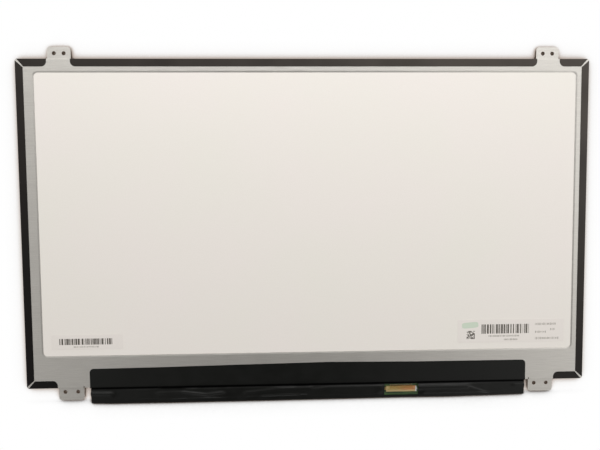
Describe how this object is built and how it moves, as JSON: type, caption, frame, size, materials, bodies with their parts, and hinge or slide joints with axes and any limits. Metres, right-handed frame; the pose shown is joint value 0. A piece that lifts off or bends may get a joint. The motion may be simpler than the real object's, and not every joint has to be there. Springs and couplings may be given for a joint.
{
  "type": "laptop screen panel",
  "caption": "Slim laptop display module lying face down: steel rear chassis with screw ears, white reflector window, black edge tapes, and a film-covered driver board with cable socket.",
  "frame": {"origin": "under the middle of the whole panel, ears and board film included, at the display face", "axes": "+X along the panel's length, to the right seen from its rear; +Y towards the panel's upper edge; +Z out of its rear"},
  "size_m": [0.3594, 0.226, 0.0031],
  "materials": {
    "polariser_film": "fine anti-glare matt",
    "display_glass": "clear",
    "black_tape": "matt film tape",
    "mould_plastic": "moulded white",
    "optical_film": "frosted film",
    "light_guide_acrylic": "clear",
    "reflector_film": "satin white film",
    "chassis_steel": "rolled zinc-plated sheet",
    "flex_polyimide": "amber film",
    "led_package": "moulded",
    "board_laminate": "green solder mask",
    "chip_epoxy": "moulded black",
    "driver_silicon": "bare die",
    "inductor_ferrite": "sintered grey",
    "capacitor_ceramic": "fired tan",
    "resistor_body": "glazed black",
    "socket_plastic": "moulded beige",
    "socket_shell_metal": "tin plate",
    "contact_gold": "gold flash",
    "cover_film": "glossy black film",
    "label_paper": "printed white"
  },
  "bodies": {
    "root": {"front_polariser": "polariser_film", "colour_filter_glass": "display_glass", "array_glass": "display_glass", "rear_polariser": "polariser_film", "cell_rim_tape": "black_tape", "upper_diffuser_sheet": "optical_film", "upper_prism_sheet": "optical_film", "lower_prism_sheet": "optical_film", "lower_diffuser_sheet": "optical_film", "light_guide_plate": "light_guide_acrylic", "reflector_sheet": "reflector_film", "mould_frame": "mould_plastic", "backlight_leds": "led_package", "led_flex_circuit": "flex_polyimide", "rear_chassis": "chassis_steel", "top_edge_tape": "black_tape", "left_edge_tape": "black_tape", "right_edge_tape": "black_tape", "lower_left_edge_tape": "black_tape", "lower_right_edge_tape": "black_tape", "lower_front_tape": "black_tape", "driver_board": "board_laminate", "timing_controller_chip": "chip_epoxy", "power_supply_chip": "chip_epoxy", "backlight_driver_chip": "chip_epoxy", "gamma_reference_chip": "chip_epoxy", "memory_chip": "chip_epoxy", "board_fuse": "capacitor_ceramic", "backlight_diode": "chip_epoxy", "supply_diode": "chip_epoxy", "backlight_inductor": "inductor_ferrite", "logic_supply_inductor": "inductor_ferrite", "panel_supply_inductor": "inductor_ferrite", "ceramic_capacitors": "capacitor_ceramic", "chip_resistors": "resistor_body", "signal_socket_housing": "socket_plastic", "signal_socket_shell": "socket_shell_metal", "signal_socket_contacts": "contact_gold", "board_cover_film": "cover_film", "product_label": "label_paper", "serial_label": "label_paper", "driver_film_1": "flex_polyimide", "driver_chip_1": "driver_silicon", "driver_film_2": "flex_polyimide", "driver_chip_2": "driver_silicon", "driver_film_3": "flex_polyimide", "driver_chip_3": "driver_silicon", "driver_film_4": "flex_polyimide", "driver_chip_4": "driver_silicon"}
  },
  "joints": []
}
